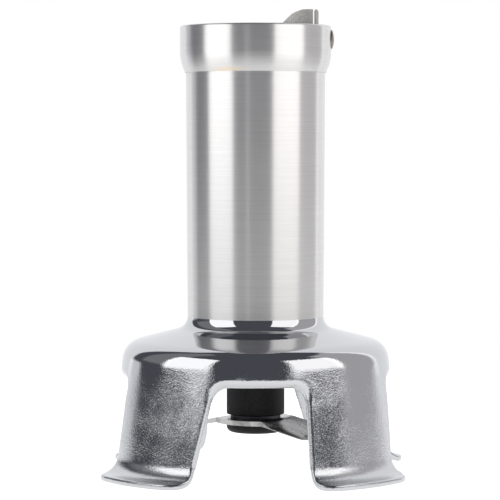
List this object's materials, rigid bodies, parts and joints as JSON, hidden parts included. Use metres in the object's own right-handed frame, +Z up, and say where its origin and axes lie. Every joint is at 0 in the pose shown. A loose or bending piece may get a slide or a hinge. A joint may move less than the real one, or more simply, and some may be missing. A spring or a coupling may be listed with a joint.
{
  "type": "immersion blender foot",
  "caption": "Detachable blending foot: brushed shaft tube with a latching collar, polished windowed bell on flared feet, and a blade that spins under a black hub.",
  "frame": {"origin": "middle of the four feet on the surface that they stand on", "axes": "+Z up along the shaft and the blade's spin axis, -Y towards the front window, +X towards the release button"},
  "size_m": [0.1136, 0.1136, 0.1731],
  "materials": {
    "brushed_tube": "brushed round the axis",
    "polished_bell": "hand polished",
    "cast_ring": "rough die-cast zinc",
    "machined_steel": "machined",
    "turned_aluminium": "turned",
    "bearing_steel": "ground",
    "brass_cage": "stamped",
    "spring_steel": "oil blackened",
    "black_plastic": "fine matte",
    "seal_rubber": "matte",
    "coupling_steel": "sintered, oiled",
    "blade_steel": "ground",
    "button_metal": "worn, cast"
  },
  "bodies": {
    "foot": {"shaft_tube": "brushed_tube", "collar": "brushed_tube", "bell": "polished_bell", "coupling_ring": "cast_ring", "ring_screws": "machined_steel", "upper_bearing_carrier": "turned_aluminium", "upper_bearing_outer": "bearing_steel", "carrier_circlip": "spring_steel", "lower_bearing_outer": "bearing_steel", "shaft_seal": "seal_rubber", "seal_housing": "black_plastic", "housing_nut": "machined_steel", "housing_o_ring": "seal_rubber", "button_spring": "spring_steel"},
    "rotor": {"seal_sleeve": "spring_steel", "drive_shaft": "machined_steel", "drive_coupling": "coupling_steel", "coupling_pin": "machined_steel", "blade": "blade_steel", "blade_cap": "black_plastic", "blade_screw": "machined_steel", "shaft_circlips": "spring_steel", "upper_bearing_inner": "bearing_steel", "lower_bearing_inner": "bearing_steel"},
    "upper_balls": {"upper_bearing_balls": "bearing_steel", "upper_bearing_cage": "brass_cage"},
    "lower_balls": {"lower_bearing_balls": "bearing_steel", "lower_bearing_cage": "brass_cage"},
    "button": {"release_button": "button_metal"}
  },
  "joints": [
    {"name": "blade_spin", "type": "hinge", "parent": "foot", "child": "rotor", "pos_m": [0, 0, 0.1], "axis": [0, 0, 1], "continuous": true},
    {"name": "upper_ball_spin", "type": "hinge", "parent": "foot", "child": "upper_balls", "pos_m": [0, 0, 0.1465], "axis": [0, 0, 1], "continuous": true},
    {"name": "lower_ball_spin", "type": "hinge", "parent": "foot", "child": "lower_balls", "pos_m": [0, 0, 0.0305], "axis": [0, 0, 1], "continuous": true},
    {"name": "button_press", "type": "slide", "parent": "foot", "child": "button", "axis": [-1, 0, 0], "range_m": [0, 0.0016], "stiffness_N_per_m": 900, "springref_m": -0.002, "deforming": ["button_spring"]}
  ],
  "couplings": [
    {"joint": "upper_ball_spin", "follows": "blade_spin", "ratio": 0.3667},
    {"joint": "lower_ball_spin", "follows": "blade_spin", "ratio": 0.4167}
  ]
}
